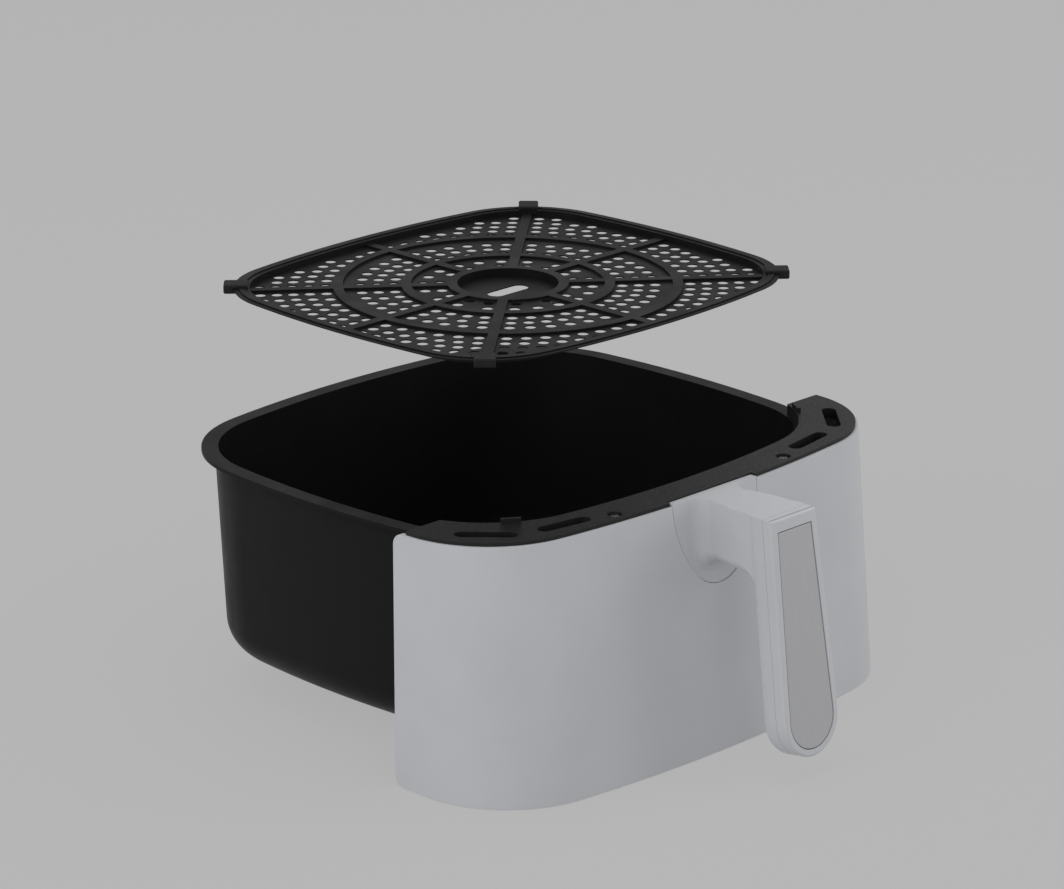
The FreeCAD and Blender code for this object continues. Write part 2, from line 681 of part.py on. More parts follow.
def drill_handle(body):
    """Holes for the grip's screws and for the inserts that take the pan screws."""
    small, gap = sizes("small_screw_d", "fit_gap")
    spots = [(0, -along) for along in grip_screw_places()]
    shank = [circle(x, y, small / 2 + gap) for x, y in spots]
    wells = [circle(x, y, small + gap) for x, y in spots]
    rear = size("cover_thick") + size("grip_shell")
    pocket(body, grip_sketch(body, "shank_holes", shank, rear), "Sizes.grip_shell + 1", Reversed=True)
    pocket(body, grip_sketch(body, "head_wells", wells, rear), "Sizes.grip_shell / 3", Reversed=True)
    holes = [circle(x, insert_height(), insert_radius() + gap) for x in pan_screw_places()]
    pocket(body, sketch(body, "XZ_Plane", "insert_holes", holes, f"{foot_back()}"),
           f"{insert_length() + gap}", Reversed=True)


def make_grip_cover():
    """White front shell of the grip with a bed for the inlay."""
    body = make_body("grip_cover")
    small, gap, margin = sizes("small_screw_d", "fit_gap", "inlay_margin")
    pad(body, grip_sketch(body, "cover", grip_outline(0, size("arm_height") / 4), size("cover_thick")),
        "Sizes.cover_thick")
    cut_top(body)
    front = grip_point(0, 0)
    lean = math.radians(size("grip_lean"))

    def on_front(edge):
        return all(abs((v.Y - front.y) * math.cos(lean) - (v.Z - front.z) * math.sin(lean)) < 1e-3
                   for v in edge.Vertexes)
    round_edges(body, "Sizes.inlay_margin * 0.45", on_front)
    bed = grip_outline(margin, -size("inlay_head"))
    pocket(body, grip_sketch(body, "inlay_bed", bed, 0), "Sizes.inlay_thick + Sizes.fit_gap")
    pilots = [circle(0, -along, small / 2 + gap / 2) for along in grip_screw_places()]
    pocket(body, grip_sketch(body, "pilots", pilots, size("cover_thick")),
           "Sizes.cover_thick / 2", Reversed=True)
    return body


def make_inlay():
    """Silver-grey strip in the grip's front."""
    body = make_body("grip_inlay")
    gap, margin = sizes("inlay_gap", "inlay_margin")
    outline = grip_outline(margin + gap, -size("inlay_head") - gap)
    bed = size("inlay_thick") + size("fit_gap")
    pad(body, grip_sketch(body, "strip", outline, bed), "Sizes.inlay_thick")
    return body


# Fasteners

def make_screw(label, diameter, length):
    """Round-head screw with a cross recess: head above its seat at zero, shank below."""
    body = make_body(label)
    radius = diameter / 2
    head, high = diameter, diameter * 0.62
    brim = high * 0.3
    # Spherical crown from the brim to the middle of the head
    crown = (head ** 2 + (high - brim) ** 2) / (2 * (high - brim))
    half_turn = math.asin(head / crown) / 2
    on_crown = (crown * math.sin(half_turn), high - crown + crown * math.cos(half_turn))
    profile = [line((0, -length), (radius * 0.5, -length)),
               line((radius * 0.5, -length), (radius, radius - length)),
               line((radius, radius - length), (radius, 0)),
               line((radius, 0), (head, 0)),
               line((head, 0), (head, brim)),
               arc((head, brim), on_crown, (0, high)),
               line((0, high), (0, -length))]
    outline = sketch(body, "XZ_Plane", "profile", profile)
    feature(body, "Revolution", outline, ReferenceAxis=(outline, ["V_Axis"]), Angle=360.0)
    arm, half = head * 0.55, head * 0.12
    cross = chain([(-arm, -half), (-half, -half), (-half, -arm), (half, -arm), (half, -half), (arm, -half),
                   (arm, half), (half, half), (half, arm), (-half, arm), (-half, half), (-arm, half)])
    pocket(body, sketch(body, "XY_Plane", "recess", cross, f"{high}"), f"{high * 0.6}")
    return body


def place(x, y, z, tilt=0.0):
    return FreeCAD.Placement(V(x, y, z), FreeCAD.Rotation(V(1, 0, 0), tilt))


def make_trim_screws():
    small, rise = sizes("small_screw_d", "trim_rise")
    screw = make_screw("trim_screw", small, rise / 2 + 4 * small)
    return repeat("trim_screws", screw.Shape,
                  [place(x, y, TRIM_TOP - rise / 2) for x, y in trim_screw_places()])


def make_liner_screws():
    small, wall, back = sizes("small_screw_d", "liner_wall", "panel_back")
    screw = make_screw("liner_screw", small, wall + 3 * small)
    return repeat("liner_screws", screw.Shape, [place(x, -back, z, -90) for x, z in liner_screw_places()])


def make_grip_screws():
    shell, cover, small = sizes("grip_shell", "cover_thick", "small_screw_d")
    seat = cover + shell * 2 / 3
    screw = make_screw("grip_screw", small, shell * 2 / 3 + cover * 0.4)
    spots = [grip_point(along, seat) for along in grip_screw_places()]
    return repeat("grip_screws", screw.Shape, [place(*p, -90 - size("grip_lean")) for p in spots])


def insert_radius():
    return size("screw_d") * 0.8


def insert_length():
    return 2 * size("screw_d")


def insert_height():
    """Height of the inserts: where the tilted pan screws pass their middle."""
    run = foot_back() + insert_length() / 2 - pan_wall_face(0, pan_screw_height(), size("pan_sheet"))
    return pan_screw_height() - run * DRAFT_SLOPE


def washer_radius():
    return 1.25 * size("screw_d")


def pan_screw_seats():
    """Middles of the washers' inner faces, tilted as the pan's wall: the washers just clear its bow."""
    z = pan_screw_height()
    inside = pan_wall_face(pan_screw_places()[1] + washer_radius(), z, size("pan_sheet"))
    seat = inside - size("fit_gap") / 2 - size("washer_thick")
    return [place(x, -seat, z, size("pan_draft") - 90) for x in pan_screw_places()]


def make_pan_screws():
    """Screws from inside the pan through the liner into the handle's foot."""
    seats = pan_screw_seats()
    length = foot_back() + insert_length() + seats[0].Base.y - size("fit_gap")
    screw = make_screw("pan_screw", size("screw_d"), length)
    return repeat("pan_screws", screw.Shape, seats)


def make_pan_washers():
    """Sealing washers under the pan screws' heads."""
    bore = size("screw_d") / 2 + size("fit_gap")
    ring = make_ring("pan_washer", washer_radius(), bore, size("washer_thick"))
    return repeat("pan_washers", ring.Shape, pan_screw_seats())


def make_ring(label, outer, inner, length):
    """Plain sleeve along Z from zero down."""
    body = make_body(label)
    pad(body, sketch(body, "XY_Plane", "ring", [circle(0, 0, outer), circle(0, 0, inner)]), f"{length}",
        Reversed=True)
    return body


def make_pan_spacers():
    """Sleeves that fill the gap between the pan's wall and the liner at each pan screw."""
    screw_d, gap = sizes("screw_d", "fit_gap")
    z = pan_screw_height()
    outside = pan_wall_face(0, z, 0)
    room = foot_back() - size("liner_wall") - outside
    ring = make_ring("pan_spacer", 1.1 * screw_d, screw_d / 2 + gap, room - 3 * gap)
    spots = [place(x, -outside - gap / 2, z, size("pan_draft") - 90) for x in pan_screw_places()]
    return repeat("pan_spacers", ring.Shape, spots)


def make_inserts():
    """Brass threaded sleeves in the handle's foot."""
    ring = make_ring("insert", insert_radius(), size("screw_d") / 2 + 1.5 * size("fit_gap"), insert_length())
    return repeat("handle_inserts", ring.Shape,
                  [place(x, -foot_back(), insert_height(), -90) for x in pan_screw_places()])


# Crisper plate

def plate_corner():
    """Middle of the plate's rear right corner on its edge, and the outward direction there."""
    edge = plate_outline(0)[0].toShape()
    tip = edge.valueAt((edge.FirstParameter + edge.LastParameter) / 2)
    out = tip - edge.Curve.Center
    out.normalize()
    return tip, out


def at_corners(inner, outer, half):
    """A block across each corner, between two distances out from the plate's edge."""
    tip, out = plate_corner()
    along = V(-out.y, out.x, 0)
    blocks = []
    for side_x, side_y in ((1, 1), (-1, 1), (-1, -1), (1, -1)):
        points = [tip + out * reach + along * half * side
                  for reach, side in ((inner, -1), (outer, -1), (outer, 1), (inner, 1))]
        blocks += chain([(point.x * side_x, point.y * side_y) for point in points])
    return blocks


def spoke_reaches():
    """Direction of each spoke in radians and the distance from the plate's middle to its end."""
    tip, _ = plate_corner()
    turn = math.atan2(tip.y, tip.x)
    short = size("plate_band") - size("plate_sheet") / 2
    inset = size("rim_width") + size("pan_sheet") + size("plate_gap") + short
    across = size("pan_width") / 2 - inset
    along = size("pan_length") / 2 - inset
    slant = tip.Length - short
    quarter = math.pi / 2
    return [(0.0, across), (turn, slant), (quarter, along), (2 * quarter - turn, slant),
            (2 * quarter, across), (2 * quarter + turn, slant), (3 * quarter, along),
            (4 * quarter - turn, slant)]


def hole_spots():
    """Hole middles: arcs between the ring ribs and the spokes, kept clear of the outer band."""
    pitch, hole, rib = sizes("hole_pitch", "hole_d", "rib_width")
    dish, middle, outer = sizes("dish_ring", "middle_ring", "outer_ring")
    keep = Part.Face(Part.Wire(Part.sortEdges([c.toShape() for c in plate_outline(size("plate_band"))])[0]))
    limit = keep.OuterWire
    spare = size("hole_margin")
    clear = rib / 2 + hole / 2 + spare
    turns = [turn for turn, _ in spoke_reaches()] + [2 * math.pi]
    spots = []
    for low, high in ((dish, middle), (middle, outer), (outer, 1.25 * plate_corner()[0].Length)):
        radius = low + clear
        while radius < high - clear + spare / 3:
            margin = math.asin((clear + spare / 2) / radius)
            for start, end in zip(turns, turns[1:]):
                room = (end - start - 2 * margin) * radius
                count = int(room / pitch) + 1
                for k in range(count):
                    share = 0.5 if count == 1 else k / (count - 1)
                    angle = start + margin + share * room / radius
                    spot = V(radius * math.cos(angle), radius * math.sin(angle), 0)
                    if not keep.isInside(spot, 1e-6, True):
                        continue
                    if limit.distToShape(Part.Vertex(spot))[0] > hole / 2 + spare:
                        spots.append((spot.x, spot.y))
            radius += pitch * 0.95
    return spots


def make_crisper_plate():
    """Pressed plate: flat band with a bead, sunk perforated floor, ring ribs, spokes and a middle dish."""
    body = make_body("crisper_plate")
    thick, band, rib = sizes("plate_sheet", "plate_band", "rib_width")
    top = "Sizes.pan_height + Sizes.plate_hover"
    floor = f"{top} - Sizes.plate_step"
    pad(body, sketch(body, "XY_Plane", "band", plate_outline(0), top), "Sizes.plate_sheet", Reversed=True)
    pad(body, sketch(body, "XY_Plane", "tray", plate_outline(band - thick), top),
        "Sizes.plate_step + Sizes.plate_sheet", Reversed=True)
    pocket(body, sketch(body, "XY_Plane", "floor", plate_outline(band), top), "Sizes.plate_step")
    edge, bead = (band - size("bead_width")) / 2, size("bead_width")
    pad(body, sketch(body, "XY_Plane", "bead", plate_outline(edge) + plate_outline(edge + bead), top),
        "Sizes.bead_height")
    gap = size("fit_gap")
    beds = at_corners(-size("bumper_reach") - gap, PAST, size("bumper_width") / 2 + gap)
    pocket(body, sketch(body, "XY_Plane", "bumper_beds", beds, f"{top} + 2 * Sizes.bead_height"),
           "2 * Sizes.bead_height")
    rings = []
    for radius in sizes("dish_ring", "middle_ring", "outer_ring"):
        rings += [circle(0, 0, radius + rib / 2), circle(0, 0, radius - rib / 2)]
    pad(body, sketch(body, "XY_Plane", "rings", rings, floor), "Sizes.rib_height")
    spokes = []
    for turn, reach in spoke_reaches():
        ends = FreeCAD.Rotation(V(0, 0, 1), math.degrees(turn))
        corners = [ends.multVec(V(x, y, 0)) for x, y in ((size("dish_ring"), -rib / 2), (reach, -rib / 2),
                                                         (reach, rib / 2), (size("dish_ring"), rib / 2))]
        spokes += chain([(corner.x, corner.y) for corner in corners])
    pad(body, sketch(body, "XY_Plane", "spokes", spokes, floor), "Sizes.rib_height")
    well = size("dish_ring") - rib / 2
    pad(body, sketch(body, "XY_Plane", "dish_floor", [circle(0, 0, size("dish_ring"))],
                     f"{floor} - Sizes.plate_sheet"), "Sizes.plate_step", Reversed=True)
    pocket(body, sketch(body, "XY_Plane", "dish", [circle(0, 0, well)], floor), "Sizes.plate_step")
    through = "4 * Sizes.plate_step"
    lift = oblong(0, 0, size("grip_slot_length"), size("grip_slot_width"), 0)
    pocket(body, sketch(body, "XY_Plane", "lift_slot", lift, top), through)
    holes = [circle(x, y, size("hole_d") / 2) for x, y in hole_spots()]
    pocket(body, sketch(body, "XY_Plane", "holes", holes, top), through)
    inner = size("slit_width") - size("bumper_reach")
    slits = at_corners(inner, inner + size("slit_width"), size("bumper_width") / 2 + size("slit_show"))
    pocket(body, sketch(body, "XY_Plane", "slits", slits, f"{top} + 2 * Sizes.bead_height"), through)
    return body


def make_bumper(label, side_x, side_y):
    """Soft pad that wraps the plate's edge at one corner."""
    body = make_body(label)
    tip, out = plate_corner()
    edge = 0.25 * size("fit_gap")
    wall, leaf, reach, under = sizes("bumper_wall", "bumper_leaf", "bumper_reach", "bumper_lip")
    wrap = chain([(edge - reach, PLATE_TOP), (edge, PLATE_TOP), (edge, PLATE_BASE),
                  (edge - under, PLATE_BASE), (edge - under, PLATE_BASE - leaf),
                  (edge + wall, PLATE_BASE - leaf), (edge + wall, PLATE_TOP + leaf),
                  (edge - reach, PLATE_TOP + leaf)])
    pad(body, sketch(body, "XZ_Plane", "wrap", wrap, "-Sizes.bumper_width / 2"), "Sizes.bumper_width")
    round_edges(body, "Sizes.bumper_leaf * 0.5",
                lambda e: centre(e).x > edge + wall - 1e-3 or flat_at(e, PLATE_TOP + leaf))
    angle = math.degrees(math.atan2(side_y * out.y, side_x * out.x))
    turn = FreeCAD.Rotation(V(0, 0, 1), angle)
    body.Placement = FreeCAD.Placement(V(side_x * tip.x, side_y * tip.y, 0), turn)
    return body


BUMPERS = (("bumper_rear_right", 1, 1), ("bumper_rear_left", -1, 1), ("bumper_front_left", -1, -1),
           ("bumper_front_right", 1, -1))
NODES = [make_pan(), make_pan_screws(), make_pan_washers(), make_pan_spacers(),
         make_front_panel(), make_liner(), make_liner_screws(), make_bottom_cover(),
         make_top_trim(), make_trim_screws(),
         make_handle(), make_inserts(), make_grip_cover(), make_inlay(), make_grip_screws(),
         make_crisper_plate()]
NODES += [make_bumper(label, side_x, side_y) for label, side_x, side_y in BUMPERS]

doc.recompute()
for item in doc.Objects:
    if "Invalid" in item.State or "Error" in item.State:
        raise ValueError(f"{item.Name} failed: {item.State}")
for node in NODES:
    if node.Shape.isNull() or not node.Shape.isValid():
        raise ValueError(f"{node.Label} has no valid shape")
os.makedirs("parts", exist_ok=True)
for node in NODES:
    node.Shape.exportStep(f"parts/{node.Label}.step")
    print(node.Label, len(node.Shape.Solids), "solids", round(node.Shape.Volume), "mm3")
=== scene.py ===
"""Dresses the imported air-fryer drawer: soft edges, finishes, studio stage and the photograph's camera."""
import json
import math

import bpy
from bpy.props import FloatProperty, FloatVectorProperty, PointerProperty
from mathutils import Matrix, Vector


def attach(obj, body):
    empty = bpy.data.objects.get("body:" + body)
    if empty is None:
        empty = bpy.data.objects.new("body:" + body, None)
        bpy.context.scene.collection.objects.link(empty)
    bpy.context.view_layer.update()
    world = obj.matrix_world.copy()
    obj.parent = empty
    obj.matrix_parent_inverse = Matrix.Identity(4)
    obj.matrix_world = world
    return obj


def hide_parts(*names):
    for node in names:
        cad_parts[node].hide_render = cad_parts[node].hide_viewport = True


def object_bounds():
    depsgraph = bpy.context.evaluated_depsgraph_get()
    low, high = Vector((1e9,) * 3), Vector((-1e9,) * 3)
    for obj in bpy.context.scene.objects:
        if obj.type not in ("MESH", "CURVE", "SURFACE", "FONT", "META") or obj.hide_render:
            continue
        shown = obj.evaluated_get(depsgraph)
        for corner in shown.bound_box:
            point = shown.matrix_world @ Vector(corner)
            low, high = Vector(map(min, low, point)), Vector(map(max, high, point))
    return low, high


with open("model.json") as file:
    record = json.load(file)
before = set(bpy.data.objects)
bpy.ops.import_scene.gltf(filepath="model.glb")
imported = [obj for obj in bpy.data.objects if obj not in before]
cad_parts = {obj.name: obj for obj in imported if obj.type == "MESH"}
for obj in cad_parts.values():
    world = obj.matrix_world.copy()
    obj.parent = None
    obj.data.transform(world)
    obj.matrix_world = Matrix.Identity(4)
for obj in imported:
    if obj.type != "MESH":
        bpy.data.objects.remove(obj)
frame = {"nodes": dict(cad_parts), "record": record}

bl_info = {
    "name": "Air fryer drawer",
    "version": (1, 0, 0),
    "blender": (4, 5, 0),
    "location": "View3D > Sidebar > Drawer",
    "description": "Dresses a packed air-fryer drawer and sets its studio stage",
    "category": "Object",
}

CAD_BOX = [list(corner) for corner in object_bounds()]

# Mesh clean-up and soft edges: distance in metres, angles in degrees
MERGE_DISTANCE = 0.000002
FLAT_ANGLE = 0.4
SHARP_ANGLE = 38.0
SMOOTH_ANGLE = 32.0
BEVEL_SEGMENTS = 2
INLAY_EDGE_SHARE = 0.4

# The part of 0 to 1 that a noise texture mostly keeps to
NOISE_LOW = 0.3
NOISE_HIGH = 0.7

# Camera of the photograph: angles in degrees, lengths in metres, sensor in millimetres
VIEW_AZIMUTH = -45.63
VIEW_ELEVATION = 18.44
VIEW_AIM = (0.0061, -0.0079, 0.0865)
SENSOR_WIDTH = 36.0

# Stage: lengths in metres, each lamp's name, place, size and watts
FLOOR_SIZE = 24.0
FLOOR_DROP = 0.0002
FLOOR_GLOW = 0.85
WORLD_LIGHT = 0.46
LAMP_AIM = (0.0, 0.0, 0.08)
LAMPS = (
    ("key_left", (-1.8, 0.2, 0.9), 1.4, 10.0),
    ("front", (-0.5, -1.75, 1.25), 1.8, 3.5),
    ("fill_right", (1.8, -1.3, 0.8), 1.4, 9.0),
    ("top", (0.1, 0.2, 2.0), 1.6, 6.5),
)


def length(name, description, default):
    """Setting for a length in metres."""
    return FloatProperty(name=name, description=description, default=default, min=0.0,
                         subtype="DISTANCE", unit="LENGTH", precision=5)


def colour(name, description, default):
    """Setting for a linear colour."""
    return FloatVectorProperty(name=name, description=description, default=default, size=3,
                               min=0.0, max=1.0, subtype="COLOR")


class DrawerSizes(bpy.types.PropertyGroup):
    """Sizes of the soft edges, and the camera's"""
    pan_edge: length("Pan edge", "Soft edge on the pan's sheet", 0.0006)
    panel_edge: length("Panel edge", "Soft edge on the white front", 0.0007)
    handle_edge: length("Handle edge", "Soft edge on the handle and its cover", 0.0008)
    trim_edge: length("Trim edge", "Soft edge on the black bezel", 0.0005)
    plate_edge: length("Plate edge", "Soft edge on the pressed crisper plate", 0.0002)
    bumper_edge: length("Bumper edge", "Soft edge on the silicone corner pads", 0.0004)
    lens: FloatProperty(name="Lens", description="Camera focal length in millimetres",
                        default=149.0, min=10.0)
    distance: length("Camera distance", "Camera to the aim point", 1.833)


class DrawerColours(bpy.types.PropertyGroup):
    """Finish colours and the stage's colours"""
    white_shell: colour("White shell", "Moulded front, handle and grip cover", (0.60, 0.61, 0.635))
    pan_coat: colour("Pan coat", "Non-stick coat of the pan", (0.011, 0.011, 0.0115))
    plate_coat: colour("Plate coat", "Non-stick coat of the crisper plate", (0.0085, 0.0085, 0.009))
    black_moulding: colour("Black moulding", "Bezel, liner and bottom cover", (0.0115, 0.0115, 0.0122))
    silver_inlay: colour("Silver inlay", "Strip in the grip", (0.51, 0.51, 0.523))
    silicone: colour("Silicone", "Corner pads and sealing washers", (0.010, 0.010, 0.0107))
    screw_steel: colour("Screw steel", "Plated screws and sleeves", (0.55, 0.55, 0.56))
    insert_brass: colour("Insert brass", "Threaded sleeves", (0.72, 0.58, 0.30))
    floor: colour("Floor", "Pale floor", (0.62, 0.62, 0.62))
    backdrop: colour("Backdrop", "Pale background seen by the camera", (0.47, 0.47, 0.47))


def drawer_sizes():
    return bpy.context.scene.drawer_sizes


def drawer_colours():
    return bpy.context.scene.drawer_colours


# Finishes

def new_finish(name):
    """Empty material with its shader, its output and Object coordinates."""
    finish = bpy.data.materials.new(name)
    finish.use_nodes = True
    tree = finish.node_tree
    tree.nodes.clear()
    shader = tree.nodes.new("ShaderNodeBsdfPrincipled")
    output = tree.nodes.new("ShaderNodeOutputMaterial")
    place = tree.nodes.new("ShaderNodeTexCoord")
    tree.links.new(shader.outputs["BSDF"], output.inputs["Surface"])
    return finish, tree, shader, place.outputs["Object"]


def noise(tree, place, scale, detail=3.0, stretch=None):
    """Noise on Object coordinates, stretched along an axis where a stretch is given."""
    made = tree.nodes.new("ShaderNodeTexNoise")
    made.inputs["Scale"].default_value = scale
    made.inputs["Detail"].default_value = detail
    if stretch is not None:
        mapping = tree.nodes.new("ShaderNodeMapping")
        mapping.inputs["Scale"].default_value = stretch
        tree.links.new(place, mapping.inputs["Vector"])
        place = mapping.outputs["Vector"]
    tree.links.new(place, made.inputs["Vector"])
    return made.outputs["Fac"]


def ramp(tree, value, low, high, stops=(0.35, 0.65)):
    """Two-colour ramp over a value."""
    made = tree.nodes.new("ShaderNodeValToRGB")
    first, second = made.color_ramp.elements
    first.position, second.position = stops
    first.color = (*low, 1.0)
    second.color = (*high, 1.0)
    tree.links.new(value, made.inputs["Fac"])
    return made.outputs["Color"]


def spread(tree, value, low, high):
    """Maps the noise's usual range on a range of numbers."""
    made = tree.nodes.new("ShaderNodeMapRange")
    made.inputs["From Min"].default_value = NOISE_LOW
    made.inputs["From Max"].default_value = NOISE_HIGH
    made.inputs["To Min"].default_value = low
    made.inputs["To Max"].default_value = high
    tree.links.new(value, made.inputs["Value"])
    return made.outputs["Result"]


def relief(tree, shader, height, strength, depth):
    """Bump from a height map."""
    made = tree.nodes.new("ShaderNodeBump")
    made.inputs["Strength"].default_value = strength
    made.inputs["Distance"].default_value = depth
    tree.links.new(height, made.inputs["Height"])
    tree.links.new(made.outputs["Normal"], shader.inputs["Normal"])


def shade(tint, factor):
    """A colour made lighter or darker."""
    return tuple(min(1.0, part * factor) for part in tint)


def moulded_white(name, tint):
    """Satin white plastic: faint clouding, fine mould texture."""
    finish, tree, shader, place = new_finish(name)
    cloud = noise(tree, place, scale=18.0)
    wear = noise(tree, place, scale=240.0)
    grain = noise(tree, place, scale=2600.0, detail=2.0)
    tree.links.new(ramp(tree, cloud, shade(tint, 0.97), shade(tint, 1.03)), shader.inputs["Base Color"])
    tree.links.new(spread(tree, wear, low=0.30, high=0.40), shader.inputs["Roughness"])
    relief(tree, shader, grain, strength=0.05, depth=0.0002)
    shader.inputs["Specular IOR Level"].default_value = 0.42
    return finish


def baked_coat(name, tint, gloss, low, high):
    """Dark non-stick coat: fine flecks, orange-peel relief and patchy sheen."""
    finish, tree, shader, place = new_finish(name)
    specks = noise(tree, place, scale=2200.0, detail=2.0)
    patches = noise(tree, place, scale=60.0)
    peel = noise(tree, place, scale=900.0, detail=2.0)
    flecked = ramp(tree, specks, tint, shade(tint, 1.8), stops=(0.55, 0.78))
    tree.links.new(flecked, shader.inputs["Base Color"])
    tree.links.new(spread(tree, patches, low, high), shader.inputs["Roughness"])
    relief(tree, shader, peel, strength=0.10, depth=0.0003)
    shader.inputs["Specular IOR Level"].default_value = gloss
    return finish


def moulded_black(name, tint):
    """Matte black plastic with an eroded mould grain."""
    finish, tree, shader, place = new_finish(name)
    cloud = noise(tree, place, scale=90.0)
    wear = noise(tree, place, scale=700.0)
    grain = noise(tree, place, scale=1800.0)
    tree.links.new(ramp(tree, cloud, shade(tint, 0.9), shade(tint, 1.15)), shader.inputs["Base Color"])
    tree.links.new(spread(tree, wear, low=0.42, high=0.56), shader.inputs["Roughness"])
    relief(tree, shader, grain, strength=0.16, depth=0.0003)
    shader.inputs["Specular IOR Level"].default_value = 0.32
    return finish


def satin_silver(name, tint):
    """Silver strip with a faint grain along the grip."""
    finish, tree, shader, place = new_finish(name)
    grain = noise(tree, place, scale=1900.0, detail=2.0, stretch=(1.0, 0.05, 0.03))
    tree.links.new(ramp(tree, grain, shade(tint, 0.985), shade(tint, 1.015)), shader.inputs["Base Color"])
    tree.links.new(spread(tree, grain, low=0.38, high=0.42), shader.inputs["Roughness"])
    relief(tree, shader, grain, strength=0.015, depth=0.0001)
    shader.inputs["Metallic"].default_value = 0.35
    return finish


def soft_silicone(name, tint):
    """Matte silicone with a dusty bloom."""
    finish, tree, shader, place = new_finish(name)
    bloom = noise(tree, place, scale=320.0)
    grain = noise(tree, place, scale=1500.0)
    tree.links.new(ramp(tree, bloom, tint, shade(tint, 1.5)), shader.inputs["Base Color"])
    tree.links.new(spread(tree, bloom, low=0.5, high=0.68), shader.inputs["Roughness"])
    relief(tree, shader, grain, strength=0.12, depth=0.0003)
    shader.inputs["Specular IOR Level"].default_value = 0.2
    return finish


def turned_metal(name, tint, low, high):
    """Plated or turned metal with fine tool marks."""
    finish, tree, shader, place = new_finish(name)
    marks = noise(tree, place, scale=3000.0, detail=2.0)
    tree.links.new(ramp(tree, marks, shade(tint, 0.85), shade(tint, 1.08)), shader.inputs["Base Color"])
    tree.links.new(spread(tree, marks, low, high), shader.inputs["Roughness"])
    relief(tree, shader, marks, strength=0.08, depth=0.0001)
    shader.inputs["Metallic"].default_value = 1.0
    return finish


def finish_for(slot):
    """The finish of one of the record's material slots, made once."""
    found = bpy.data.materials.get("finish_" + slot)
    if found is not None:
        return found
    name, tints = "finish_" + slot, drawer_colours()
    if slot == "white_plastic":
        return moulded_white(name, tints.white_shell)
    if slot == "nonstick_steel":
        return baked_coat(name, tints.pan_coat, gloss=0.08, low=0.36, high=0.46)
    if slot == "nonstick_plate":
        return baked_coat(name, tints.plate_coat, gloss=0.12, low=0.38, high=0.50)
    if slot == "black_plastic":
        return moulded_black(name, tints.black_moulding)
    if slot == "silver_inlay":
        return satin_silver(name, tints.silver_inlay)
    if slot == "bumper_silicone":
        return soft_silicone(name, tints.silicone)
    if slot == "screw_steel":
        return turned_metal(name, tints.screw_steel, low=0.25, high=0.4)
    if slot == "insert_brass":
        return turned_metal(name, tints.insert_brass, low=0.22, high=0.36)
    raise ValueError(f"no finish for the slot {slot}")


# Pieces

def slot_of(node):
    """The record's material slot of a node."""
    return next(entry["material_slot"] for entry in frame["record"]["subparts"] if entry["node"] == node)


def body_of(node):
    """The moving body that carries a node."""
    bodies = frame["record"]["behaviour"]["bodies"]
    return next(body for body, members in bodies.items() if node in members)


def pick(piece):
    """Makes one object the only selected one, and active."""
    bpy.ops.object.select_all(action="DESELECT")
    piece.select_set(True)
    bpy.context.view_layer.objects.active = piece


def start_piece(node, name):
    """Copy of a node's mesh, merged, with its flat areas made whole."""
    piece = bpy.data.objects.new(name, frame["nodes"][node].data.copy())
    bpy.context.scene.collection.objects.link(piece)
    pick(piece)
    bpy.ops.object.mode_set(mode="EDIT")
    bpy.ops.mesh.customdata_custom_splitnormals_clear()
    bpy.ops.mesh.select_all(action="SELECT")
    bpy.ops.mesh.remove_doubles(threshold=MERGE_DISTANCE)
    bpy.ops.mesh.dissolve_limited(angle_limit=math.radians(FLAT_ANGLE))
    bpy.ops.mesh.select_all(action="DESELECT")
    bpy.ops.object.mode_set(mode="OBJECT")
    return piece


def soften(piece, width):
    """Bevels the sharp edges and smooths the rest."""
    pick(piece)
    bevel = piece.modifiers.new("soft_edges", "BEVEL")
    bevel.width = width
    bevel.segments = BEVEL_SEGMENTS
    bevel.limit_method = "ANGLE"
    bevel.angle_limit = math.radians(SHARP_ANGLE)
    bpy.ops.object.modifier_apply(modifier=bevel.name)
    bpy.ops.object.shade_smooth_by_angle(angle=math.radians(SMOOTH_ANGLE))
    weigh = piece.modifiers.new("flat_faces", "WEIGHTED_NORMAL")
    weigh.keep_sharp = True
    bpy.ops.object.modifier_apply(modifier=weigh.name)


def settle(piece, node):
    """Gives a piece its finish and its body, in place of the node."""
    slot = slot_of(node)
    piece.data.materials.clear()
    piece.data.materials.append(finish_for(slot))
    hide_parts(node)
    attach(piece, body_of(node))


def dress(node, name, width):
    """Soft-edged piece in place of a node."""
    piece = start_piece(node, name)
    soften(piece, width)
    settle(piece, node)


def paint(*nodes):
    """Better finish on nodes that stay as they are."""
    for node in nodes:
        for place in frame["nodes"][node].material_slots:
            place.material = finish_for(slot_of(node))


class DRAWER_OT_pan(bpy.types.Operator):
    """Pan with soft sheet edges, and its screws, washers and sleeves"""
    bl_idname = "drawer.pan"
    bl_label = "Pan"

    def execute(self, context):
        dress("pan", "coated_pan", drawer_sizes().pan_edge)
        paint("pan_screws", "pan_washers", "pan_spacers")
        return {"FINISHED"}


class DRAWER_OT_front(bpy.types.Operator):
    """White wrap-round front, the black liner and the bottom cover behind it"""
    bl_idname = "drawer.front"
    bl_label = "Front"

    def execute(self, context):
        dress("front_panel", "white_front", drawer_sizes().panel_edge)
        paint("panel_liner", "bottom_cover", "liner_screws")
        return {"FINISHED"}


class DRAWER_OT_trim(bpy.types.Operator):
    """Black bezel with its vent slots, and its screws"""
    bl_idname = "drawer.trim"
    bl_label = "Bezel"

    def execute(self, context):
        dress("top_trim", "black_bezel", drawer_sizes().trim_edge)
        paint("trim_screws")
        return {"FINISHED"}


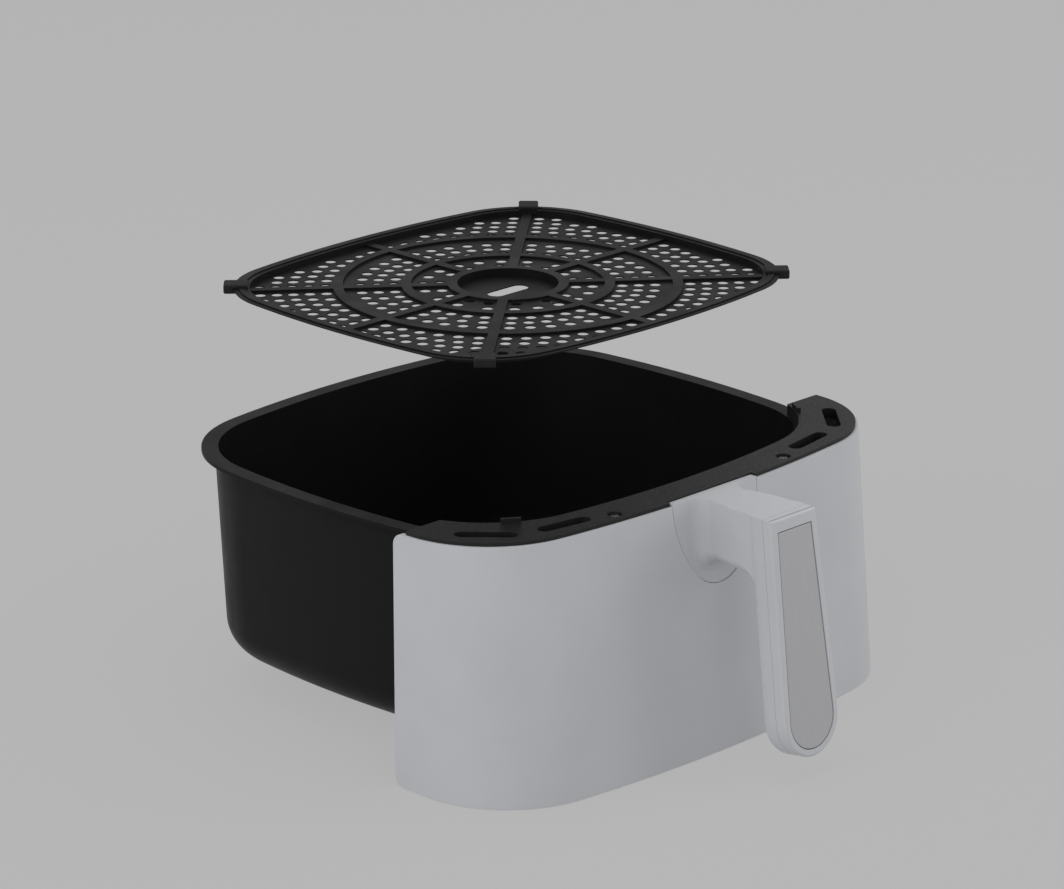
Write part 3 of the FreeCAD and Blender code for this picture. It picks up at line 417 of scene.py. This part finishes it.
class DRAWER_OT_handle(bpy.types.Operator):
    """Handle moulding, grip cover and silver inlay"""
    bl_idname = "drawer.handle"
    bl_label = "Handle"

    def execute(self, context):
        edge = drawer_sizes().handle_edge
        dress("handle", "handle_moulding", edge)
        dress("grip_cover", "grip_front", edge)
        dress("grip_inlay", "grip_strip", edge * INLAY_EDGE_SHARE)
        paint("handle_inserts", "grip_screws")
        return {"FINISHED"}


class DRAWER_OT_plate(bpy.types.Operator):
    """Pressed crisper plate with its holes, ring ribs and spokes"""
    bl_idname = "drawer.plate"
    bl_label = "Crisper plate"

    def execute(self, context):
        dress("crisper_plate", "pressed_plate", drawer_sizes().plate_edge)
        return {"FINISHED"}


class DRAWER_OT_bumpers(bpy.types.Operator):
    """Four silicone corner pads"""
    bl_idname = "drawer.bumpers"
    bl_label = "Corner pads"

    def execute(self, context):
        for corner in ("front_left", "front_right", "rear_left", "rear_right"):
            dress("bumper_" + corner, "corner_pad_" + corner, drawer_sizes().bumper_edge)
        return {"FINISHED"}


# Stage

def seen_ray(tree, share):
    """Share for rays that show the background: from the camera, off gloss or through glass."""
    path = tree.nodes.new("ShaderNodeLightPath")
    total = path.outputs["Is Camera Ray"]
    for other in ("Is Glossy Ray", "Is Transmission Ray"):
        add = tree.nodes.new("ShaderNodeMath")
        add.operation = "ADD"
        add.use_clamp = True
        tree.links.new(total, add.inputs[0])
        tree.links.new(path.outputs[other], add.inputs[1])
        total = add.outputs[0]
    part = tree.nodes.new("ShaderNodeMath")
    part.operation = "MULTIPLY"
    part.inputs[1].default_value = share
    tree.links.new(total, part.inputs[0])
    return part.outputs[0]


def make_floor(level):
    """Pale floor that glows like the backdrop where it is seen and still takes a faint shadow."""
    bpy.ops.object.select_all(action="DESELECT")
    bpy.ops.mesh.primitive_plane_add(size=FLOOR_SIZE, location=(0.0, 0.0, level))
    floor = bpy.context.active_object
    floor.name = "floor"
    paper = bpy.data.materials.new("pale_paper")
    paper.use_nodes = True
    tree = paper.node_tree
    tree.nodes.clear()
    matte = tree.nodes.new("ShaderNodeBsdfDiffuse")
    matte.inputs["Color"].default_value = (*drawer_colours().floor, 1.0)
    glow = tree.nodes.new("ShaderNodeEmission")
    glow.inputs["Color"].default_value = (*drawer_colours().backdrop, 1.0)
    mix = tree.nodes.new("ShaderNodeMixShader")
    output = tree.nodes.new("ShaderNodeOutputMaterial")
    tree.links.new(seen_ray(tree, FLOOR_GLOW), mix.inputs["Fac"])
    tree.links.new(matte.outputs["BSDF"], mix.inputs[1])
    tree.links.new(glow.outputs["Emission"], mix.inputs[2])
    tree.links.new(mix.outputs["Shader"], output.inputs["Surface"])
    floor.data.materials.append(paper)


def make_world(level):
    """Even studio light all round, and the pale backdrop where the background shows."""
    world = bpy.data.worlds.new("studio")
    bpy.context.scene.world = world
    world.use_nodes = True
    tree = world.node_tree
    tree.nodes.clear()
    around = tree.nodes.new("ShaderNodeBackground")
    around.inputs["Color"].default_value = (1.0, 1.0, 1.0, 1.0)
    around.inputs["Strength"].default_value = level
    seen = tree.nodes.new("ShaderNodeBackground")
    seen.inputs["Color"].default_value = (*drawer_colours().backdrop, 1.0)
    mix = tree.nodes.new("ShaderNodeMixShader")
    output = tree.nodes.new("ShaderNodeOutputWorld")
    tree.links.new(seen_ray(tree, 1.0), mix.inputs["Fac"])
    tree.links.new(around.outputs["Background"], mix.inputs[1])
    tree.links.new(seen.outputs["Background"], mix.inputs[2])
    tree.links.new(mix.outputs["Shader"], output.inputs["Surface"])


def make_lamp(name, place, size, power):
    """Square soft box aimed at the drawer."""
    data = bpy.data.lights.new(name, "AREA")
    data.energy = power
    data.size = size
    lamp = bpy.data.objects.new(name, data)
    bpy.context.scene.collection.objects.link(lamp)
    lamp.location = place
    lamp.rotation_mode = "QUATERNION"
    lamp.rotation_quaternion = (Vector(LAMP_AIM) - Vector(place)).to_track_quat("-Z", "Y")


def make_camera():
    """Camera at the photograph's place: ahead of the drawer's left corner, a little above it."""
    wanted = drawer_sizes()
    azimuth, elevation = math.radians(VIEW_AZIMUTH), math.radians(VIEW_ELEVATION)
    back = Vector((math.sin(azimuth) * math.cos(elevation),
                   -math.cos(azimuth) * math.cos(elevation),
                   math.sin(elevation)))
    right = Vector((math.cos(azimuth), math.sin(azimuth), 0.0))
    up = back.cross(right)
    data = bpy.data.cameras.new("camera")
    data.sensor_fit = "HORIZONTAL"
    data.sensor_width = SENSOR_WIDTH
    data.lens = wanted.lens
    camera = bpy.data.objects.new("camera", data)
    bpy.context.scene.collection.objects.link(camera)
    place = Vector(VIEW_AIM) + back * wanted.distance
    camera.matrix_world = Matrix((
        (right.x, up.x, back.x, place.x),
        (right.y, up.y, back.y, place.y),
        (right.z, up.z, back.z, place.z),
        (0.0, 0.0, 0.0, 1.0)))
    bpy.context.scene.camera = camera


class DRAWER_OT_stage(bpy.types.Operator):
    """Pale floor, even studio light and the camera"""
    bl_idname = "drawer.stage"
    bl_label = "Stage"

    def execute(self, context):
        context.scene.view_settings.view_transform = "Standard"
        make_floor(CAD_BOX[0][2] - FLOOR_DROP)
        make_world(WORLD_LIGHT)
        for name, place, size, power in LAMPS:
            make_lamp(name, place, size, power)
        make_camera()
        return {"FINISHED"}


class DRAWER_PT_panel(bpy.types.Panel):
    """Lists the drawer's pieces and settings"""
    bl_idname = "DRAWER_PT_panel"
    bl_label = "Air fryer drawer"
    bl_space_type = "VIEW_3D"
    bl_region_type = "UI"
    bl_category = "Drawer"

    def draw(self, context):
        for operator in OPERATORS:
            self.layout.operator(operator.bl_idname)
        for group in (context.scene.drawer_sizes, context.scene.drawer_colours):
            column = self.layout.column()
            for name in group.__annotations__:
                column.prop(group, name)


OPERATORS = (DRAWER_OT_pan, DRAWER_OT_front, DRAWER_OT_trim, DRAWER_OT_handle, DRAWER_OT_plate,
             DRAWER_OT_bumpers, DRAWER_OT_stage)
CLASSES = (DrawerSizes, DrawerColours, *OPERATORS, DRAWER_PT_panel)


def register():
    for cls in CLASSES:
        bpy.utils.register_class(cls)
    bpy.types.Scene.drawer_sizes = PointerProperty(type=DrawerSizes)
    bpy.types.Scene.drawer_colours = PointerProperty(type=DrawerColours)


def unregister():
    del bpy.types.Scene.drawer_colours
    del bpy.types.Scene.drawer_sizes
    for cls in reversed(CLASSES):
        bpy.utils.unregister_class(cls)


def main():
    register()
    bpy.ops.drawer.pan()
    bpy.ops.drawer.front()
    bpy.ops.drawer.trim()
    bpy.ops.drawer.handle()
    bpy.ops.drawer.plate()
    bpy.ops.drawer.bumpers()
    bpy.ops.drawer.stage()


if __name__ == "__main__":
    main()
